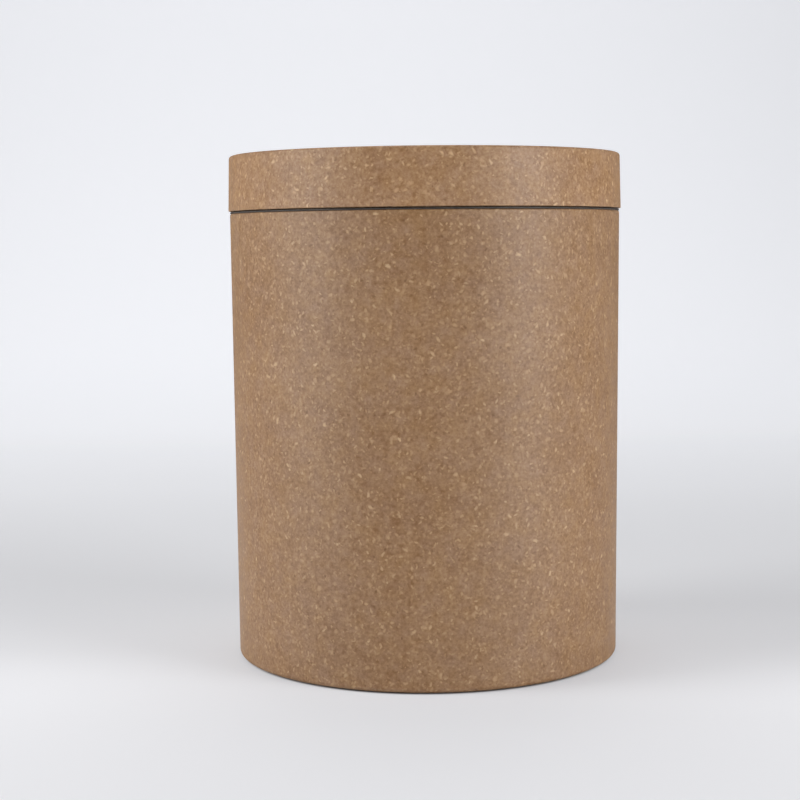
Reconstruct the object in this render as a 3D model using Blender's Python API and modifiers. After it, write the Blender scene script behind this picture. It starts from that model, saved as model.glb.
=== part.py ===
# Pet treat canister: a moulded plant-fibre pot, a push-in lid of two mouldings and a finned seal.
# Metres, +Z up. The pot stands on z = 0, and every piece is turned about the z axis.
# The lid's two mouldings and the seal hang on one empty and lift off together along that axis.

import math

import bpy
from mathutils import Vector

# Fineness of the turned surfaces and of the rounded edges
TURN_STEPS = 60
ARC_CHORD = 0.0006
ARC_STEPS_MOST = 6

# Canister body
MOUTH_RADIUS = 0.0650
BODY_HEIGHT = 0.1484
BODY_TAPER = 0.0009
BODY_WALL = 0.0032
BODY_FLOOR = 0.0036
BASE_CORNER = 0.0017
INNER_FLOOR_FILLET = 0.0060
RIM_EDGE = 0.0005
MOUTH_LEAD_IN = 0.0010
FOOT_INSET = 0.0030
FOOT_STEP = 0.0006
FOOT_WIDTH = 0.0040
FOOT_RECESS = 0.0009
FOOT_EDGE = 0.0002

# Lid cap
LID_HEIGHT = 0.0180
LID_OVERHANG = 0.0005
LID_TAPER = 0.0004
LID_TOP_CORNER = 0.0010
CAP_TOP = 0.0033
SKIRT_WALL = 0.0033
SKIRT_EDGE = 0.0004
CAP_INNER_FILLET = 0.0020

# Lid plug
PLUG_DEPTH = 0.0134
PLUG_WALL = 0.0025
PLUG_TOP = 0.0025
PLUG_TAPER = 0.0004
PLUG_TOP_EDGE = 0.0015
PLUG_INNER_FILLET = 0.0030
SHOULDER_THICKNESS = 0.0016
SHOULDER_EDGE = 0.0004
LIP_HEIGHT = 0.0027
LIP_EDGE = 0.0004
LIP_LEAD_IN = 0.0014

# Seal ring
FLANGE_THICKNESS = 0.0005
FLANGE_RECESS = 0.0003
FLANGE_EDGE = 0.0002
HOOP_THICKNESS = 0.0015
HOOP_EDGE = 0.0003
FIN_COUNT = 3
FIN_REACH = 0.0016
FIN_RISE = 0.0009
FIN_ROOT = 0.0011
FIN_TIP = 0.0005
FIN_EDGE = 0.0002

# Clearances: between seated faces, from the fins to the bore, and from the plug's lip to the bore
SEAT_GAP = 0.0003
FIN_GAP = 0.0003
LIP_GAP = 0.0011

# Heights and radii that the pieces share
SEAM = FLANGE_THICKNESS + 2 * SEAT_GAP
LID_SEAT = BODY_HEIGHT + SEAM
BORE_RADIUS = MOUTH_RADIUS - BODY_WALL
SKIRT_RADIUS = MOUTH_RADIUS + LID_OVERHANG
CAP_CEILING = LID_HEIGHT - CAP_TOP
PLUG_BOTTOM = -SEAM - PLUG_DEPTH
LIP_TOP = PLUG_BOTTOM + LIP_HEIGHT


def body_narrowing(height):
    """How much narrower the pot is at this height than at its mouth."""
    return BODY_TAPER * (BODY_HEIGHT - height) / BODY_HEIGHT


def skirt_bore(height):
    """Inside radius of the lid's skirt at this height above the skirt's lower edge."""
    return SKIRT_RADIUS - SKIRT_WALL - LID_TAPER * height / LID_HEIGHT


# Radii that follow from the narrowest part of the bore that the plug reaches
PLUGGED_BORE = BORE_RADIUS - body_narrowing(BODY_HEIGHT - PLUG_DEPTH)
HOOP_RADIUS = PLUGGED_BORE - FIN_GAP - FIN_REACH
GROOVE_RADIUS = HOOP_RADIUS - HOOP_THICKNESS - SEAT_GAP

# Finishes: name, colour, roughness
PLANT_FIBRE = ("plant_fibre", (0.305, 0.178, 0.102, 1.0), 0.58)
SILICONE = ("silicone", (0.030, 0.031, 0.034, 1.0), 0.62)


def clear_scene():
    for old in list(bpy.data.objects):
        bpy.data.objects.remove(old)


def make_material(piece, finish):
    name, colour, roughness = finish
    material = bpy.data.materials.new(f"{piece}_{name}")
    material.use_nodes = True
    shader = material.node_tree.nodes["Principled BSDF"]
    shader.inputs["Base Color"].default_value = colour
    shader.inputs["Roughness"].default_value = roughness
    shader.inputs["Metallic"].default_value = 0.0
    return material


def round_corner(before, corner, after, radius):
    """Arc of this radius, or of the largest that both sides have room for, in place of a corner."""
    back = before - corner
    ahead = after - corner
    half = back.angle(ahead) / 2
    reach = min(radius / math.tan(half), 0.45 * back.length, 0.45 * ahead.length)
    radius = reach * math.tan(half)
    inward = (back.normalized() + ahead.normalized()).normalized()
    along = (ahead.normalized() - back.normalized()).normalized()
    centre = corner + inward * radius / math.sin(half)
    sweep = math.pi - 2 * half
    steps = max(2, min(ARC_STEPS_MOST, round(sweep * radius / ARC_CHORD)))
    angles = [sweep * (step / steps - 0.5) for step in range(steps + 1)]
    return [centre + radius * (math.sin(a) * along - math.cos(a) * inward) for a in angles]


def outline(corners, closed=False):
    """Profile through corners of (radius, height, fillet), where a fillet of 0 stays sharp."""
    points = []
    count = len(corners)
    for i, (radius, height, fillet) in enumerate(corners):
        corner = Vector((radius, height))
        at_end = not closed and i in (0, count - 1)
        if at_end or fillet == 0:
            points.append(corner)
            continue
        before = Vector(corners[i - 1][:2])
        after = Vector(corners[(i + 1) % count][:2])
        points += round_corner(before, corner, after, fillet)
    return points


def turn(name, points, finish, group, closed=False, parent=None):
    """Turns a profile about z. It runs down the outer side, so that the faces point out."""
    mesh = bpy.data.meshes.new(name)
    last = len(points) - 1
    edges = [(i, i + 1) for i in range(last)]
    if closed:
        edges.append((last, 0))
    mesh.from_pydata([(p.x, 0.0, p.y) for p in points], edges, [])
    piece = bpy.data.objects.new(name, mesh)
    piece.parent = parent
    mesh.materials.append(make_material(name, finish))
    group.objects.link(piece)

    screw = piece.modifiers.new("turned", "SCREW")
    screw.axis = "Z"
    screw.angle = 2 * math.pi
    screw.steps = TURN_STEPS
    screw.render_steps = TURN_STEPS
    screw.use_merge_vertices = True
    screw.merge_threshold = 0.00001
    screw.use_smooth_shade = True
    piece.modifiers.new("flats_stay_flat", "WEIGHTED_NORMAL")
    return piece


def body_outline():
    """Floor, bore, rim, outer wall, then the set-back foot ring round the shallow recess underneath."""
    floor_top = FOOT_RECESS + BODY_FLOOR
    base_radius = MOUTH_RADIUS - BODY_TAPER
    foot_outer = base_radius - FOOT_INSET
    foot_inner = foot_outer - FOOT_WIDTH
    return outline([
        (0, floor_top, 0),
        (BORE_RADIUS - body_narrowing(floor_top), floor_top, INNER_FLOOR_FILLET),
        (BORE_RADIUS, BODY_HEIGHT, MOUTH_LEAD_IN),
        (MOUTH_RADIUS, BODY_HEIGHT, RIM_EDGE),
        (base_radius, FOOT_STEP, BASE_CORNER),
        (foot_outer, FOOT_STEP, 0),
        (foot_outer, 0, FOOT_EDGE),
        (foot_inner, 0, FOOT_EDGE),
        (foot_inner - FOOT_RECESS, FOOT_RECESS, FOOT_EDGE),
        (0, FOOT_RECESS, 0),
    ])


def cap_outline():
    """Flat top, rounded corner and a skirt whose lower edge is at height 0."""
    return outline([
        (0, LID_HEIGHT, 0),
        (SKIRT_RADIUS - LID_TAPER, LID_HEIGHT, LID_TOP_CORNER),
        (SKIRT_RADIUS, 0, SKIRT_EDGE),
        (skirt_bore(0), 0, SKIRT_EDGE),
        (skirt_bore(CAP_CEILING), CAP_CEILING, CAP_INNER_FILLET),
        (0, CAP_CEILING, 0),
    ])


def plug_outline():
    """Inverted cup. Its shoulder centres it in the skirt and roofs the groove that holds the seal."""
    top = CAP_CEILING - SEAT_GAP
    shoulder = skirt_bore(SHOULDER_THICKNESS) - SEAT_GAP
    lip = PLUGGED_BORE - LIP_GAP
    inside = GROOVE_RADIUS - PLUG_WALL
    return outline([
        (0, top, 0),
        (GROOVE_RADIUS, top, PLUG_TOP_EDGE),
        (GROOVE_RADIUS, SHOULDER_THICKNESS, SHOULDER_EDGE),
        (shoulder, SHOULDER_THICKNESS, SHOULDER_EDGE),
        (shoulder, 0, SHOULDER_EDGE),
        (GROOVE_RADIUS, 0, 0),
        (GROOVE_RADIUS, LIP_TOP, 0),
        (lip, LIP_TOP, LIP_EDGE),
        (lip, PLUG_BOTTOM, LIP_LEAD_IN),
        (inside, PLUG_BOTTOM, LIP_EDGE),
        (inside - PLUG_TAPER, top - PLUG_TOP, PLUG_INNER_FILLET),
        (0, top - PLUG_TOP, 0),
    ])


def fin_corners(root):
    """One fin of the seal, which rises towards its thin tip, from its upper root to its lower one."""
    tip = root + FIN_RISE
    tip_radius = HOOP_RADIUS + FIN_REACH
    return [
        (HOOP_RADIUS, root + FIN_ROOT / 2, 0),
        (tip_radius, tip + FIN_TIP / 2, FIN_EDGE),
        (tip_radius, tip - FIN_TIP / 2, FIN_EDGE),
        (HOOP_RADIUS, root - FIN_ROOT / 2, 0),
    ]


def seal_outline():
    """Hoop in the plug's groove, with fins to the bore and a flange between rim and skirt."""
    inside = GROOVE_RADIUS + SEAT_GAP
    flange_radius = MOUTH_RADIUS - FLANGE_RECESS
    flange_top = -SEAT_GAP
    flange_bottom = flange_top - FLANGE_THICKNESS
    hoop_bottom = LIP_TOP + SEAT_GAP
    pitch = (flange_bottom - hoop_bottom) / FIN_COUNT
    corners = [
        (inside, flange_top, 0),
        (flange_radius, flange_top, FLANGE_EDGE),
        (flange_radius, flange_bottom, FLANGE_EDGE),
        (HOOP_RADIUS, flange_bottom, FLANGE_EDGE),
    ]
    for fin in range(FIN_COUNT):
        corners += fin_corners(flange_bottom - (fin + 0.5) * pitch - FIN_RISE / 2)
    corners += [
        (HOOP_RADIUS, hoop_bottom, HOOP_EDGE),
        (inside, hoop_bottom, HOOP_EDGE),
    ]
    return outline(corners, closed=True)


clear_scene()
canister = bpy.data.collections.new("pet_treat_canister")
bpy.context.scene.collection.children.link(canister)

# The lid lifts along z from this point, level with the skirt's lower edge
lid_lift = bpy.data.objects.new("lid_lift", None)
lid_lift.location = (0, 0, LID_SEAT)
canister.objects.link(lid_lift)

turn("canister_body", body_outline(), PLANT_FIBRE, canister)
turn("lid_cap", cap_outline(), PLANT_FIBRE, canister, parent=lid_lift)
turn("lid_plug", plug_outline(), PLANT_FIBRE, canister, parent=lid_lift)
turn("seal_ring", seal_outline(), SILICONE, canister, closed=True, parent=lid_lift)
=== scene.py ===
# Pet treat canister, dressed: smooth turned pieces, speckled plant-fibre composite, silicone seal
# Everything is in metres, in the frame's own place, +Z up
import math

import bpy
import numpy as np
from mathutils import Matrix, Vector


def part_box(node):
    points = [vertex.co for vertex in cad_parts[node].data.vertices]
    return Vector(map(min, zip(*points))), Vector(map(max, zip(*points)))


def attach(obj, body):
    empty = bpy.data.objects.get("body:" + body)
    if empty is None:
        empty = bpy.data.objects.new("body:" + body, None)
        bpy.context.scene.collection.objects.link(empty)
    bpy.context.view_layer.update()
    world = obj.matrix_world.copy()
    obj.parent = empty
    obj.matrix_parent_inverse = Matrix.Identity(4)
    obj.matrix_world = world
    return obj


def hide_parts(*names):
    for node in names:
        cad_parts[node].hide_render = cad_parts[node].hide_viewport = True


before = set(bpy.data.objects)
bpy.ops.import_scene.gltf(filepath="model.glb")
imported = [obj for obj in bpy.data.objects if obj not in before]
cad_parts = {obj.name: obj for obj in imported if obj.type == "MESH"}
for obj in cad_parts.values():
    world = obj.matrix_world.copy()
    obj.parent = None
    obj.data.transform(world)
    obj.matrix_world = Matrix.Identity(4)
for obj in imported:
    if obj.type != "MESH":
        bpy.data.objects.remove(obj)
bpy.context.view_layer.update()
print("frame loaded:", sorted(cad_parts))


# Camera, solved from the rim, seam, lid and base outlines of the photograph
cameraView = {
    "distance": 0.5850,                  # from the canister's axis
    "height": 0.1385,                    # just under the rim, so the lid's top isn't seen
    "yaw": -0.8561,                      # degrees, to the right
    "pitch": 5.1867,                     # degrees, downwards
    "roll": -0.5305,                     # degrees, anticlockwise
    "lens": 77.86,                       # millimetres, as the sensor is
    "sensor": 36.0,
    "clipStart": 0.02,
}


def placeCamera(view):
    yaw, pitch, roll = (math.radians(view[key]) for key in ("yaw", "pitch", "roll"))
    level = math.cos(pitch)
    ahead = Vector((math.sin(yaw) * level, math.cos(yaw) * level, -math.sin(pitch)))
    right = ahead.cross(Vector((0, 0, 1))).normalized()
    up = right.cross(ahead)
    rolledRight = right * math.cos(roll) + up * math.sin(roll)
    rolledUp = up * math.cos(roll) - right * math.sin(roll)
    camera = bpy.data.objects.new("studioCamera", bpy.data.cameras.new("studioCamera"))
    camera.data.lens = view["lens"]
    camera.data.sensor_width = view["sensor"]
    camera.data.clip_start = view["clipStart"]
    axes = Matrix((rolledRight, rolledUp, -ahead)).transposed().to_4x4()
    camera.matrix_world = Matrix.Translation((0, -view["distance"], view["height"])) @ axes
    bpy.context.scene.collection.objects.link(camera)
    bpy.context.scene.camera = camera


placeCamera(cameraView)
print("camera placed")


# Turned shapes
turning = {
    "segments": 480,
    "arcSteps": 10,                      # steps round each corner
    "smallArc": 0.0005,                  # corners up to this radius take fewer
    "smallArcSteps": 5,
    "arcShare": 0.48,                    # of a side's length, the most that a corner's arc takes up
    "besideArc": 0.00012,                # a ring this close to each arc keeps the flats flat
    "besideMost": 0.3,                   # where that is more of a straight run, it gets no rings
    "longestRun": 0.0060,                # between the rings of a straight run
}


def cornerArc(before, corner, after, radius, steps):
    # Circle arc that touches both sides of the corner:
    # centre + radius * (sin t * along - cos t * inward)
    back, ahead = before - corner, after - corner
    backLength, aheadLength = np.linalg.norm(back), np.linalg.norm(ahead)
    back, ahead = back / backLength, ahead / aheadLength
    half = math.acos(np.clip(back @ ahead, -1, 1)) / 2
    reach = min(radius / math.tan(half), turning["arcShare"] * min(backLength, aheadLength))
    radius = reach * math.tan(half)
    inward = (back + ahead) / np.linalg.norm(back + ahead)
    along = (ahead - back) / np.linalg.norm(ahead - back)
    centre = corner + inward * radius / math.sin(half)
    turn = np.linspace(-1, 1, steps + 1)[:, None] * (math.pi / 2 - half)
    return centre + radius * (np.sin(turn) * along - np.cos(turn) * inward)


def straightRun(start, end):
    # Points between two arcs, evenly spaced from just beside the one to just beside the other
    length = np.linalg.norm(end - start)
    beside = turning["besideArc"] / length if length > 0 else 1
    if beside > turning["besideMost"]:
        return np.empty((0, 2))
    count = max(2, math.ceil(length / turning["longestRun"]) + 1)
    return start + np.linspace(beside, 1 - beside, count)[:, None] * (end - start)


def roundedProfile(corners, closed=False):
    # Outline through corners (radius, height, fillet): arcs at the corners, straight runs between
    places = np.array([corner[:2] for corner in corners], dtype=float)
    arcs = []
    for i, corner in enumerate(corners):
        atEnd = not closed and i in (0, len(corners) - 1)
        if atEnd or corner[2] == 0:
            arcs.append(places[i:i + 1])
        else:
            steps = turning["smallArcSteps" if corner[2] <= turning["smallArc"] else "arcSteps"]
            after = places[(i + 1) % len(corners)]
            arcs.append(cornerArc(places[i - 1], places[i], after, corner[2], steps))
    stretches = []
    for i, arc in enumerate(arcs):
        stretches.append(arc)
        if closed or i < len(arcs) - 1:
            stretches.append(straightRun(arc[-1], arcs[(i + 1) % len(arcs)][0]))
    return np.concatenate(stretches)


noTriangles = np.empty((0, 3), dtype=int)


def smoothMesh(name, points, quads, triangles=noTriangles):
    # Object from whole arrays: its points, and the numbers of the points round each face
    mesh = bpy.data.meshes.new(name)
    mesh.vertices.add(len(points))
    mesh.vertices.foreach_set("co", points.astype(np.float32).ravel())
    corners = np.concatenate([quads.ravel(), triangles.ravel()])
    sizes = np.concatenate([np.full(len(quads), 4), np.full(len(triangles), 3)])
    mesh.loops.add(len(corners))
    mesh.loops.foreach_set("vertex_index", corners.astype(np.int32))
    mesh.polygons.add(len(sizes))
    mesh.polygons.foreach_set("loop_start", (np.cumsum(sizes) - sizes).astype(np.int32))
    mesh.update(calc_edges=True)
    mesh.shade_smooth()
    piece = bpy.data.objects.new(name, mesh)
    bpy.context.scene.collection.objects.link(piece)
    return piece


def turnedPiece(name, profile, closed=False):
    # Surface of revolution: (r(v) cos u, r(v) sin u, z(v)), u once round the axis, v along the
    # profile. Seen with the axis at the left, it runs clockwise, so that the faces point outwards
    segments = turning["segments"]
    u = np.arange(segments) * (2 * math.pi / segments)
    rings = profile if closed else profile[1:-1]
    points = np.stack([
        rings[:, :1] * np.cos(u),
        rings[:, :1] * np.sin(u),
        np.repeat(rings[:, 1:], segments, axis=1),
    ], axis=-1).reshape(-1, 3)
    index = np.arange(len(points)).reshape(len(rings), segments)
    here = index if closed else index[:-1]
    below = np.roll(index, -1, axis=0) if closed else index[1:]
    quads = np.stack([here, below, np.roll(below, -1, axis=1), np.roll(here, -1, axis=1)], axis=-1)
    quads = quads.reshape(-1, 4)
    if closed:
        return smoothMesh(name, points, quads)

    # Both ends of an open profile lie on the axis, and close as poles
    first, last = index[0], index[-1]
    firstPole, lastPole = len(points), len(points) + 1
    points = np.concatenate([points, [[0, 0, profile[0, 1]], [0, 0, profile[-1, 1]]]])
    triangles = np.concatenate([
        np.stack([np.full(segments, firstPole), first, np.roll(first, -1)], axis=-1),
        np.stack([last, np.full(segments, lastPole), np.roll(last, -1)], axis=-1),
    ])
    return smoothMesh(name, points, quads, triangles)


# Shader nodes
def feed(tree, socket, value):
    # A link from an output, or a plain value
    if isinstance(value, bpy.types.NodeSocket):
        tree.links.new(value, socket)
    else:
        socket.default_value = value


def addNode(tree, kind, inputs=None, **settings):
    node = tree.nodes.new(kind)
    for key, value in settings.items():
        setattr(node, key, value)
    for key, value in (inputs or {}).items():
        feed(tree, node.inputs[key], value)
    return node


def newMaterial(name):
    # Material with its tree, its shader and the object's own coordinates
    material = bpy.data.materials.new(name)
    material.use_nodes = True
    tree = material.node_tree
    place = addNode(tree, "ShaderNodeTexCoord").outputs["Object"]
    return material, tree, tree.nodes["Principled BSDF"], place


def maths(tree, operation, first, second=0.0):
    return addNode(tree, "ShaderNodeMath", {0: first, 1: second}, operation=operation).outputs[0]


def vectorMaths(tree, operation, first, second=(0, 0, 0), output=0):
    node = addNode(tree, "ShaderNodeVectorMath", {0: first, 1: second}, operation=operation)
    return node.outputs[output]


def blendColour(tree, factor, under, over):
    node = addNode(tree, "ShaderNodeMix", data_type="RGBA")
    for key, value in (("Factor_Float", factor), ("A_Color", under), ("B_Color", over)):
        feed(tree, next(s for s in node.inputs if s.identifier == key), value)
    return next(s for s in node.outputs if s.identifier == "Result_Color")


def ramped(tree, value, low, high, outLow=0.0, outHigh=1.0, curve="LINEAR"):
    node = addNode(tree, "ShaderNodeMapRange", {
        "Value": value, "From Min": low, "From Max": high, "To Min": outLow, "To Max": outHigh},
        interpolation_type=curve)
    return node.outputs["Result"]


# What sets patterns apart: the ways in which an offset moves a noise or a kind of fleck, and the
# stretches that make further random numbers out of a cell's own
patterns = {
    "noiseWays": (1.0, 0.7, -1.0),
    "fleckWays": (1.0, -1.0, 0.5),
    "presenceStretch": 37.0,
    "strengthStretch": 53.0,
    "sizeStretch": 29.0,
    "middle": 0.5,                       # of a noise: less this, it swings or points either way
}


def moved(tree, place, offset, ways):
    shift = tuple(offset * way for way in ways)
    return addNode(tree, "ShaderNodeMapping", {"Vector": place, "Location": shift}).outputs[0]


def noiseValue(tree, place, size, octaves, roughness, offset=0.0):
    # Noise whose features are about this many metres across, from 0 to 1
    noise = addNode(tree, "ShaderNodeTexNoise", {
        "Vector": moved(tree, place, offset, patterns["noiseWays"]),
        "Scale": 1.0 / size, "Detail": octaves, "Roughness": roughness})
    return noise.outputs["Fac"]


def pick(tree, first, second, stretch):
    # Another random number from 0 to 1, out of two of a cell's own
    return maths(tree, "FRACT", maths(tree, "MULTIPLY", maths(tree, "ADD", first, second), stretch))


def directionAlongWall(tree, place, randomColour):
    # A random direction, less its part that points away from the z axis
    direction = vectorMaths(tree, "SUBTRACT", randomColour, (patterns["middle"],) * 3)
    outward = vectorMaths(tree, "NORMALIZE", vectorMaths(tree, "MULTIPLY", place, (1, 1, 0)))
    outwardPart = vectorMaths(tree, "DOT_PRODUCT", direction, outward, output=1)
    outwardPart = vectorMaths(tree, "MULTIPLY", outward, outwardPart)
    return vectorMaths(tree, "NORMALIZE", vectorMaths(tree, "SUBTRACT", direction, outwardPart))


def fleckMask(tree, place, fleck, offset):
    # One ellipsoid to a cell, lying any way along the wall. With d from the cell's point, in half
    # widths, and t along the fleck, it is where |d|^2 + t^2 (1 / slenderness^2 - 1) is under its
    # size squared
    spot = moved(tree, place, offset, patterns["fleckWays"])
    cells = addNode(tree, "ShaderNodeTexVoronoi", {
        "Vector": spot, "Scale": 1.0 / fleck["cell"], "Randomness": fleck["scatter"]}).outputs
    fromPoint = vectorMaths(tree, "SUBTRACT", spot, cells["Position"])
    fromPoint = vectorMaths(tree, "DIVIDE", fromPoint, (fleck["halfWidth"],) * 3)
    axis = directionAlongWall(tree, place, cells["Color"])
    along = vectorMaths(tree, "DOT_PRODUCT", fromPoint, axis, output=1)
    squared = vectorMaths(tree, "DOT_PRODUCT", fromPoint, fromPoint, output=1)
    slender = 1 / fleck["slenderness"] ** 2 - 1
    lengthwise = maths(tree, "MULTIPLY", maths(tree, "MULTIPLY", along, along), slender)
    reach = maths(tree, "ADD", squared, lengthwise)

    chance = addNode(tree, "ShaderNodeSeparateColor", {"Color": cells["Color"]}).outputs
    presence = pick(tree, chance[0], chance[1], patterns["presenceStretch"])
    present = maths(tree, "LESS_THAN", presence, fleck["share"])
    strength = pick(tree, chance[1], chance[2], patterns["strengthStretch"])
    strength = ramped(tree, strength, 0, 1, fleck["faintest"], fleck["strongest"])
    sizeSquared = pick(tree, chance[2], chance[0], patterns["sizeStretch"])
    sizeSquared = ramped(tree, sizeSquared, 0, 1, fleck["smallest"] ** 2, 1)
    shape = ramped(tree, maths(tree, "DIVIDE", reach, sizeSquared), 1.0, fleck["core"])
    return maths(tree, "MULTIPLY", maths(tree, "MULTIPLY", shape, present), strength)


# Plant-fibre composite: tan, mottled at several sizes, full of pale chaff, paler fibres and dark
# specks. Each kind of fleck lies over those before it. Its cell is the distance from one fleck to
# the next, scatter is 0 in rows and 1 anywhere, share is the part of the cells that hold a fleck,
# slenderness is length over width, smallest is the least part of the full size, core is the part of
# a fleck that doesn't fade outwards, and faintest and strongest are how much of the ground it covers
fibreLook = {
    "dark": (0.212, 0.104, 0.0410, 1),
    "light": (0.363, 0.221, 0.1210, 1),
    "tone": 0.5,                         # from dark to light, before the mottles
    "mottles": {                         # metres across, octaves, weight
        "cloud": (0.0260, 1.0, 0.40),
        "patch": (0.0075, 1.0, 0.40),
        "mottle": (0.0024, 2.0, 1.10),
        "grain": (0.0010, 2.0, 1.60),
    },
    "noiseRoughness": 0.6,               # of the mottles and of the tint
    "tintSize": 0.0060,                  # the binder is here a little greyer, there more golden
    "tintOctaves": 2.0,
    "tintOffset": 9,
    "greyer": (0.985, 1.000, 1.085, 1),
    "golden": (1.020, 1.000, 0.890, 1),
    "ragged": 0.00090,                   # how far, edge to edge, the flecks' outlines are pushed
    "raggedSize": 0.0012,
    "raggedOctaves": 1.0,
    "roughness": (0.46, 0.58),
    "span": (0.3, 0.7),                  # of the noises behind the tint and the roughness
    "bump": 0.10,
    "bumpHeight": 0.0002,
    "fleckOffset": 0.37,                 # from each kind of fleck to the next
    "flecks": {
        "clump": {
            "cell": 0.00300, "scatter": 0.90, "halfWidth": 0.00090, "slenderness": 1.4,
            "share": 0.70, "smallest": 0.55, "core": 0.0, "faintest": 0.10, "strongest": 0.90,
            "colour": (0.450, 0.284, 0.152, 1),
        },
        "husk": {
            "cell": 0.00150, "scatter": 0.90, "halfWidth": 0.00044, "slenderness": 1.7,
            "share": 0.80, "smallest": 0.65, "core": 0.0, "faintest": 0.10, "strongest": 0.75,
            "colour": (0.199, 0.095, 0.036, 1),
        },
        "crumb": {
            "cell": 0.00125, "scatter": 0.90, "halfWidth": 0.00042, "slenderness": 1.5,
            "share": 0.80, "smallest": 0.60, "core": 0.0, "faintest": 0.10, "strongest": 0.75,
            "colour": (0.445, 0.280, 0.147, 1),
        },
        "chaff": {
            "cell": 0.00190, "scatter": 0.85, "halfWidth": 0.00058, "slenderness": 1.6,
            "share": 0.85, "smallest": 0.60, "core": 0.1, "faintest": 0.20, "strongest": 0.90,
            "colour": (0.465, 0.296, 0.157, 1),
        },
        "fibre": {
            "cell": 0.00210, "scatter": 0.75, "halfWidth": 0.00045, "slenderness": 1.9,
            "share": 0.80, "smallest": 0.60, "core": 0.0, "faintest": 0.25, "strongest": 1.00,
            "colour": (0.490, 0.320, 0.174, 1),
        },
        "strand": {
            "cell": 0.00300, "scatter": 0.75, "halfWidth": 0.00056, "slenderness": 2.1,
            "share": 0.80, "smallest": 0.60, "core": 0.1, "faintest": 0.25, "strongest": 1.00,
            "colour": (0.510, 0.338, 0.188, 1),
        },
        "straw": {
            "cell": 0.00420, "scatter": 0.80, "halfWidth": 0.00064, "slenderness": 1.8,
            "share": 0.60, "smallest": 0.55, "core": 0.1, "faintest": 0.40, "strongest": 1.00,
            "colour": (0.554, 0.380, 0.217, 1),
        },
        "bark": {
            "cell": 0.00260, "scatter": 0.80, "halfWidth": 0.00050, "slenderness": 1.7,
            "share": 0.50, "smallest": 0.55, "core": 0.1, "faintest": 0.30, "strongest": 0.80,
            "colour": (0.158, 0.071, 0.025, 1),
        },
    },
}

mouldingsAndPaintedLight = {                            # pot and lid differ in their patterns, and the lid is paler: painted light, for the extra light that falls on it from above
    "pot": {"offset": 0.0, "paintedLightLevel": 1.0},
    "lid": {"offset": 3.1, "paintedLightLevel": 1.13},
}


def plantFibre(name, look, offset, paintedLightLevel):
    material, tree, shader, place = newMaterial(name)
    tone = look["tone"]
    mottles = {}
    for order, (kind, (size, octaves, weight)) in enumerate(look["mottles"].items()):
        mottles[kind] = noiseValue(
            tree, place, size, octaves, look["noiseRoughness"], offset + order)
        swing = maths(tree, "SUBTRACT", mottles[kind], patterns["middle"])
        tone = maths(tree, "ADD", maths(tree, "MULTIPLY", swing, weight), tone)
    colour = blendColour(tree, tone, look["dark"], look["light"])
    tint = noiseValue(tree, place, look["tintSize"], look["tintOctaves"], look["noiseRoughness"],
                      offset + look["tintOffset"])
    tint = blendColour(tree, ramped(tree, tint, *look["span"]), look["greyer"], look["golden"])
    colour = vectorMaths(tree, "MULTIPLY", colour, tint)

    push = addNode(tree, "ShaderNodeTexNoise", {
        "Vector": place, "Scale": 1 / look["raggedSize"], "Detail": look["raggedOctaves"]})
    push = vectorMaths(tree, "SUBTRACT", push.outputs["Color"], (patterns["middle"],) * 3)
    push = vectorMaths(tree, "MULTIPLY", push, (look["ragged"],) * 3)
    ragged = vectorMaths(tree, "ADD", place, push)
    for order, fleck in enumerate(look["flecks"].values()):
        mask = fleckMask(tree, ragged, fleck, offset + look["fleckOffset"] * (order + 1))
        colour = blendColour(tree, mask, colour, fleck["colour"])
    # Painted light: a value over 1 makes the colour paler, standing for extra light from above on the
    # lid
    paler = addNode(tree, "ShaderNodeHueSaturation", {"Color": colour, "Value": paintedLightLevel})

    bump = addNode(tree, "ShaderNodeBump", {
        "Height": mottles["grain"], "Strength": look["bump"], "Distance": look["bumpHeight"]})
    dullness = ramped(tree, mottles["mottle"], *look["span"], *look["roughness"])
    feed(tree, shader.inputs["Base Color"], paler.outputs[0])
    feed(tree, shader.inputs["Roughness"], dullness)
    feed(tree, shader.inputs["Normal"], bump.outputs[0])
    return material


# Silicone: charcoal, dull, with the faint cloudiness that handling leaves
siliconeLook = {
    "dark": (0.042, 0.034, 0.029, 1),
    "light": (0.072, 0.060, 0.051, 1),
    "bloom": {"size": 0.004, "octaves": 3.0, "roughness": 0.6},
    "grain": {"size": 0.0004, "octaves": 2.0, "roughness": 0.5, "offset": 0.5},
    "colourSpan": (0.35, 0.65),          # of the bloom's noise, from dark to light
    "roughnessSpan": (0.3, 0.7),
    "roughness": (0.50, 0.64),
    "bump": 0.15,
    "bumpHeight": 0.0001,
    "ior": 1.41,
}


def siliconeRubber(name, look):
    material, tree, shader, place = newMaterial(name)
    bloom = noiseValue(tree, place, **look["bloom"])
    grain = noiseValue(tree, place, **look["grain"])
    colour = blendColour(tree, ramped(tree, bloom, *look["colourSpan"]), look["dark"], look["light"])
    dullness = ramped(tree, bloom, *look["roughnessSpan"], *look["roughness"])
    bump = addNode(tree, "ShaderNodeBump", {
        "Height": grain, "Strength": look["bump"], "Distance": look["bumpHeight"]})
    feed(tree, shader.inputs["Base Color"], colour)
    feed(tree, shader.inputs["Roughness"], dullness)
    feed(tree, shader.inputs["IOR"], look["ior"])
    feed(tree, shader.inputs["Normal"], bump.outputs[0])
    return material


fibreOfPot = plantFibre("plantFibreBody", fibreLook, **mouldingsAndPaintedLight["pot"])
fibreOfLid = plantFibre("plantFibreLid", fibreLook, **mouldingsAndPaintedLight["lid"])
silicone = siliconeRubber("charcoalSilicone", siliconeLook)
print("materials made")


# Sizes that the pieces share, read from the frame
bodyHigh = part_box("canister_body")[1]
capLow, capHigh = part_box("lid_cap")
plugLow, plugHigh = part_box("lid_plug")
sealLow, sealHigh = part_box("seal_ring")


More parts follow.
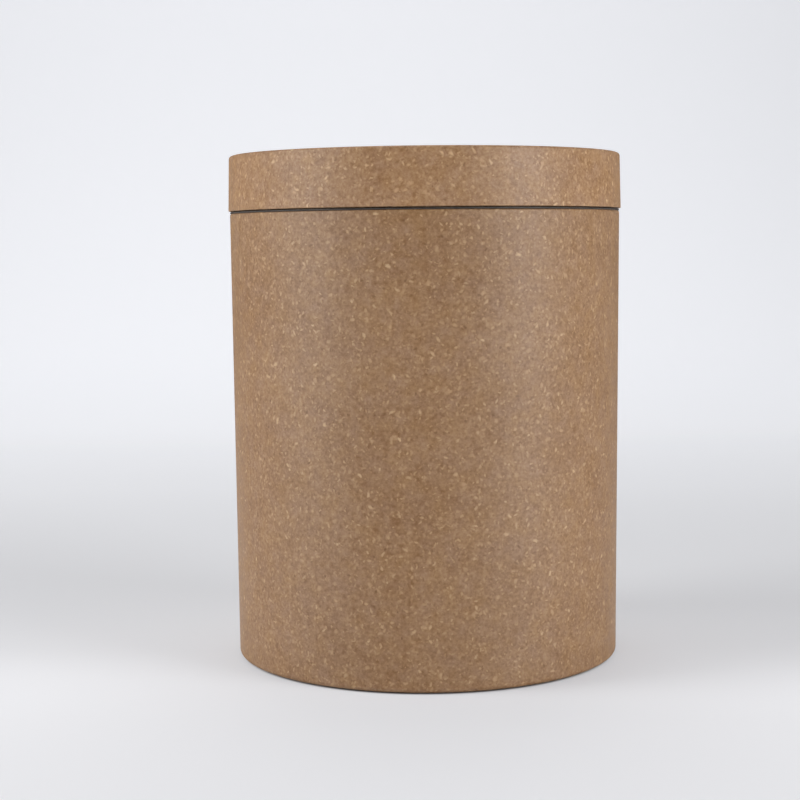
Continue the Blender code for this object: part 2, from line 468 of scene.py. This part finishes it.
# Seam between rim and skirt, a little tighter than the frame's, which keeps its pieces apart
seamView = {
    "rimRaise": 0.00014,
    "skirtDrop": 0.00014,
    "flangeGap": 0.00002,                # under the seal's flange, which lies on the rim
    "shadowGap": 0.00028,                # over it, where the seam is darkest
    "flangeReach": 0.00025,              # how far it stands out past the frame's flange
}


# Canister body
bodyShape = {
    "taper": 0.0009,                     # how much smaller the base's radius is than the mouth's
    "wall": 0.0032,
    "floor": 0.0036,
    "baseCorner": 0.0017,
    "insideCorner": 0.0060,
    "rimOuterEdge": 0.0006,
    "rimInnerEdge": 0.0010,
    "footInset": 0.0030,
    "footStep": 0.0006,                  # the shadow line round the foot is this high
    "footWidth": 0.0040,
    "footRecess": 0.0009,
    "footEdge": 0.0002,
}


def makeBody(shape):
    mouth, rim = bodyHigh[0], bodyHigh[2] + seamView["rimRaise"]
    bore, base = mouth - shape["wall"], mouth - shape["taper"]
    floorTop = shape["footRecess"] + shape["floor"]
    foot = base - shape["footInset"]
    footInside = foot - shape["footWidth"]
    boreAtFloor = bore - shape["taper"] * (rim - floorTop) / rim
    profile = roundedProfile([
        (0, floorTop, 0),
        (boreAtFloor, floorTop, shape["insideCorner"]),
        (bore, rim, shape["rimInnerEdge"]),
        (mouth, rim, shape["rimOuterEdge"]),
        (base, shape["footStep"], shape["baseCorner"]),
        (foot, shape["footStep"], shape["footEdge"]),
        (foot, 0, shape["footEdge"]),
        (footInside, 0, shape["footEdge"]),
        (footInside - shape["footRecess"], shape["footRecess"], shape["footEdge"]),
        (0, shape["footRecess"], 0),
    ])
    body = turnedPiece("pot", profile)
    body.data.materials.append(fibreOfPot)
    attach(body, "canister")
    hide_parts("canister_body")


makeBody(bodyShape)
print("canister body made")


# Lid cap
capShape = {
    "taper": 0.0004,                     # how much smaller the lid's radius is at its top
    "top": 0.0033,
    "wall": 0.0033,
    "topCorner": 0.0010,
    "skirtEdge": 0.00025,
    "insideCorner": 0.0020,
    "widen": 0.000005,                   # the skirt's rounded edge ends just inside the frame's box
}


def makeCap(shape):
    seam, top = capLow[2] - seamView["skirtDrop"], capHigh[2]
    outside = capHigh[0] + shape["widen"]
    inside = outside - shape["wall"]
    ceiling = top - shape["top"]
    insideAtCeiling = inside - shape["taper"] * (ceiling - seam) / (top - seam)
    profile = roundedProfile([
        (0, top, 0),
        (outside - shape["taper"], top, shape["topCorner"]),
        (outside, seam, shape["skirtEdge"]),
        (inside, seam, shape["skirtEdge"]),
        (insideAtCeiling, ceiling, shape["insideCorner"]),
        (0, ceiling, 0),
    ])
    cap = turnedPiece("lidCap", profile)
    cap.data.materials.append(fibreOfLid)
    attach(cap, "lid")
    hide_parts("lid_cap")


makeCap(capShape)
print("lid cap made")


# Lid plug
plugShape = {
    "groove": 0.0580,                    # radius of the groove's bottom
    "grooveEdge": 0.0001,
    "lipOverhang": 0.0026,
    "lipHeight": 0.0027,
    "lipLeadIn": 0.0014,
    "lipEdge": 0.0004,
    "shoulder": 0.0016,
    "shoulderEdge": 0.0004,
    "wall": 0.0025,
    "top": 0.0025,
    "taper": 0.0004,
    "topEdge": 0.0015,
    "insideCorner": 0.0030,
}


def makePlug(shape):
    seam, low, high = capLow[2], plugLow[2], plugHigh[2]
    groove, shoulder = shape["groove"], plugHigh[0]
    lip = groove + shape["lipOverhang"]
    inside = groove - shape["wall"]
    profile = roundedProfile([
        (0, high, 0),
        (groove, high, shape["topEdge"]),
        (groove, seam + shape["shoulder"], shape["shoulderEdge"]),
        (shoulder, seam + shape["shoulder"], shape["shoulderEdge"]),
        (shoulder, seam, shape["shoulderEdge"]),
        (groove, seam, shape["grooveEdge"]),
        (groove, low + shape["lipHeight"], shape["grooveEdge"]),
        (lip, low + shape["lipHeight"], shape["lipEdge"]),
        (lip, low, shape["lipLeadIn"]),
        (inside, low, shape["lipEdge"]),
        (inside - shape["taper"], high - shape["top"], shape["insideCorner"]),
        (0, high - shape["top"], 0),
    ])
    plug = turnedPiece("lidPlug", profile)
    plug.data.materials.append(fibreOfLid)
    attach(plug, "lid")
    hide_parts("lid_plug")


makePlug(plugShape)
print("lid plug made")


# Seal ring
sealShape = {
    "hoop": 0.0598,                      # outer radius of the hoop, where the fins start
    "hoopThickness": 0.0015,
    "flangeEdge": 0.0002,
    "hoopEdge": 0.0003,
    "fins": 3,
    "finReach": 0.0016,
    "finRise": 0.0009,
    "finRoot": 0.0011,
    "finTip": 0.0005,
    "finEdge": 0.00022,
    "finFillet": 0.0002,
}


def makeSeal(shape):
    hoop, low = shape["hoop"], sealLow[2]
    inside = hoop - shape["hoopThickness"]
    flangeTop = capLow[2] - seamView["skirtDrop"] - seamView["shadowGap"]
    flangeBottom = bodyHigh[2] + seamView["rimRaise"] + seamView["flangeGap"]
    flange, tip = sealHigh[0] + seamView["flangeReach"], hoop + shape["finReach"]
    pitch = (flangeBottom - low) / shape["fins"]
    corners = [
        (inside, flangeTop, shape["flangeEdge"]),
        (flange, flangeTop, shape["flangeEdge"]),
        (flange, flangeBottom, shape["flangeEdge"]),
        (hoop, flangeBottom, shape["finFillet"]),
    ]
    for fin in range(shape["fins"]):
        root = flangeBottom - (fin + 0.5) * pitch - shape["finRise"] / 2
        rise = root + shape["finRise"]
        corners += [
            (hoop, root + shape["finRoot"] / 2, shape["finFillet"]),
            (tip, rise + shape["finTip"] / 2, shape["finEdge"]),
            (tip, rise - shape["finTip"] / 2, shape["finEdge"]),
            (hoop, root - shape["finRoot"] / 2, shape["finFillet"]),
        ]
    corners += [(hoop, low, shape["hoopEdge"]), (inside, low, shape["hoopEdge"])]
    seal = turnedPiece("sealRing", roundedProfile(corners, closed=True), closed=True)
    seal.data.materials.append(silicone)
    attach(seal, "lid")
    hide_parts("seal_ring")


makeSeal(sealShape)
print("seal ring made")


# Studio: one pale sheet that sweeps up behind, softboxes on both sides and one overhead, behind
studio = {
    "sheetWidth": 5.0,
    "front": -3.0,
    "foldStart": 1.2,                    # where the sheet leaves the floor
    "foldRadius": 0.5,
    "sheetHeight": 2.4,
    "points": {"floor": 40, "fold": 24, "wall": 12, "across": 3},       # of the sheet's grid
    "paper": (0.80, 0.80, 0.82, 1),
    "paperSeen": (0.42, 0.42, 0.43, 1),  # for the camera, which also sees the glow below
    "paperRoughness": 0.9,
    "glowTint": (0.985, 1.0, 1.05, 1),
    "glow": (                            # painted light: place along the sweep, y + z, and brightness there
        (-0.20, 0.375),                  # foreground
        (-0.15, 0.375),
        (-0.09, 0.405),
        (-0.05, 0.420),
        (0.00, 0.335),
        (0.15, 0.255),                   # just behind the canister, painted shade
        (0.39, 0.395),
        (0.71, 0.595),
        (1.24, 0.795),                   # foot of the fold
        (2.20, 0.660),
    ),
    "lean": 0.10,                        # painted shade: how much dimmer per metre to the right
    "bow": 0.20,                         # and per square metre to either side
    "underPot": (-0.0024, -0.0008),      # the glow ends between these distances from the base's edge
    "away": (0.15, 0.40),                # where, to the sides and front, it fades into the tone below
    "spread": 0.25,                      # how much further to the sides for each metre behind
    "beyond": (0.80, 0.80, 0.83, 1),     # what the camera sees there and past the sheet
    "aim": (0.0, 0.0, 0.09),
    "lamps": {                           # reach from the axis, degrees from the camera's side
        "leftLow": {"reach": 1.0, "turn": -65, "height": 0.15, "size": (0.5, 0.8), "watts": 5.1},
        "leftHigh": {"reach": 1.0, "turn": -76, "height": 0.70, "size": (0.5, 0.8), "watts": 7.4},
        "right": {"reach": 1.0, "turn": 57, "height": 0.35, "size": (0.5, 0.8), "watts": 9.2},
        "leftBehind": {"reach": 1.0, "turn": -115, "height": 0.35, "size": (0.5, 0.8), "watts": 0.5},
        "rightBehind": {"reach": 1.0, "turn": 115, "height": 0.35, "size": (0.5, 0.8), "watts": 0.5},
        "overhead": {"reach": 0.35, "turn": 180, "height": 1.0, "size": (0.6, 0.6), "watts": 4.2},
    },
}


def glowRamp(tree, sweep, stops):
    # Brightness by place along the sweep, a smooth curve drawn by the stops
    low, high = stops[0][0], stops[-1][0]
    node = addNode(tree, "ShaderNodeValToRGB", {"Fac": ramped(tree, sweep, low, high)})
    ramp = node.color_ramp
    ramp.interpolation = "B_SPLINE"
    ramp.elements.remove(ramp.elements[1])
    for order, (spot, level) in enumerate(stops):
        position = (spot - low) / (high - low)
        stop = ramp.elements[0] if order == 0 else ramp.elements.new(position)
        stop.position = position
        stop.color = (level, level, level, 1)
    return node.outputs["Color"]


def paperGlow(tree, place, along, setup):
    # The ramp's brightness * (1 - x (lean + bow x)), and none under the canister
    # Painted light on the sheet, with painted shade behind the canister and towards the sides
    glow = glowRamp(tree, maths(tree, "ADD", along["Y"], along["Z"]), setup["glow"])
    slope = maths(tree, "ADD", maths(tree, "MULTIPLY", along["X"], setup["bow"]), setup["lean"])
    dimming = maths(tree, "MULTIPLY", along["X"], slope)
    glow = maths(tree, "MULTIPLY", glow, maths(tree, "SUBTRACT", 1.0, dimming))
    baseEdge = bodyHigh[0] - bodyShape["taper"]
    fromAxis = vectorMaths(tree, "LENGTH", place, output=1)
    clear = ramped(tree, fromAxis, *(baseEdge + edge for edge in setup["underPot"]))
    return maths(tree, "MULTIPLY", glow, clear)


def awayFromCanister(tree, along, setup):
    # From 0 to 1 as the larger of |x| - spread * max(y, 0) and -y grows
    behind = maths(tree, "MULTIPLY", maths(tree, "MAXIMUM", along["Y"], 0.0), setup["spread"])
    aside = maths(tree, "SUBTRACT", maths(tree, "ABSOLUTE", along["X"]), behind)
    aside = maths(tree, "MAXIMUM", aside, maths(tree, "MULTIPLY", along["Y"], -1.0))
    return ramped(tree, aside, *setup["away"], curve="SMOOTHSTEP")


def studioPaper(setup):
    # Plain paper to the lamps and the canister. The camera sees it darker, with a graded glow added,
    # and away from the canister it sees one even tone
    # The glow is painted light; its dip behind the canister and its dimming to the right and sides
    # are painted shade
    material, tree, shader, place = newMaterial("studioPaper")
    along = addNode(tree, "ShaderNodeSeparateXYZ", {"Vector": place}).outputs
    seen = addNode(tree, "ShaderNodeLightPath").outputs["Is Camera Ray"]
    paper = blendColour(tree, seen, setup["paper"], setup["paperSeen"])
    glow = maths(tree, "MULTIPLY", paperGlow(tree, place, along, setup), seen)
    feed(tree, shader.inputs["Base Color"], paper)
    feed(tree, shader.inputs["Roughness"], setup["paperRoughness"])
    feed(tree, shader.inputs["Emission Color"], setup["glowTint"])
    feed(tree, shader.inputs["Emission Strength"], glow)

    away = maths(tree, "MULTIPLY", awayFromCanister(tree, along, setup), seen)
    even = addNode(tree, "ShaderNodeEmission", {"Color": setup["beyond"]})
    mixed = addNode(tree, "ShaderNodeMixShader", {0: away, 1: shader.outputs[0], 2: even.outputs[0]})
    feed(tree, tree.nodes["Material Output"].inputs["Surface"], mixed.outputs[0])
    return material


def makeSheet(setup):
    # Sheet (x, y(s), z(s)): flat along y, then a quarter circle, then straight up, s along the sweep
    start, radius, count = setup["foldStart"], setup["foldRadius"], setup["points"]
    floorY = np.linspace(setup["front"], start, count["floor"])
    turn = np.linspace(0, math.pi / 2, count["fold"])[1:]
    wallZ = np.linspace(radius, setup["sheetHeight"], count["wall"])[1:]
    wallY = np.full(len(wallZ), start + radius)
    y = np.concatenate([floorY, start + radius * np.sin(turn), wallY])
    z = np.concatenate([np.zeros(len(floorY)), radius * (1 - np.cos(turn)), wallZ])
    x = np.linspace(-setup["sheetWidth"] / 2, setup["sheetWidth"] / 2, count["across"])
    points = np.stack(np.broadcast_arrays(x[None, :], y[:, None], z[:, None]), axis=-1)
    index = np.arange(len(y) * len(x)).reshape(len(y), len(x))
    quads = np.stack([index[:-1, :-1], index[:-1, 1:], index[1:, 1:], index[1:, :-1]], axis=-1)
    sheet = smoothMesh("studioSheet", points.reshape(-1, 3), quads.reshape(-1, 4))
    sheet.data.materials.append(studioPaper(setup))


def addSoftbox(name, box, aim):
    turn = math.radians(box["turn"])
    place = Vector((box["reach"] * math.sin(turn), -box["reach"] * math.cos(turn), box["height"]))
    light = bpy.data.lights.new(name, "AREA")
    light.shape = "RECTANGLE"
    light.size, light.size_y = box["size"]
    light.energy = box["watts"]
    lamp = bpy.data.objects.new(name, light)
    lamp.location = place
    lamp.rotation_euler = (Vector(aim) - place).to_track_quat("-Z", "Y").to_euler()
    lamp.visible_camera = False
    bpy.context.scene.collection.objects.link(lamp)


def makeStudio(setup):
    makeSheet(setup)
    for name, box in setup["lamps"].items():
        addSoftbox(name, box, setup["aim"])
    world = bpy.data.worlds.new("studioWorld")
    world.use_nodes = True
    background = world.node_tree.nodes["Background"]
    seen = addNode(world.node_tree, "ShaderNodeLightPath").outputs["Is Camera Ray"]
    feed(world.node_tree, background.inputs["Color"], setup["beyond"])
    feed(world.node_tree, background.inputs["Strength"], seen)      # it lights nothing
    bpy.context.scene.world = world
    bpy.context.scene.view_settings.view_transform = "Standard"


makeStudio(studio)
print("studio made")
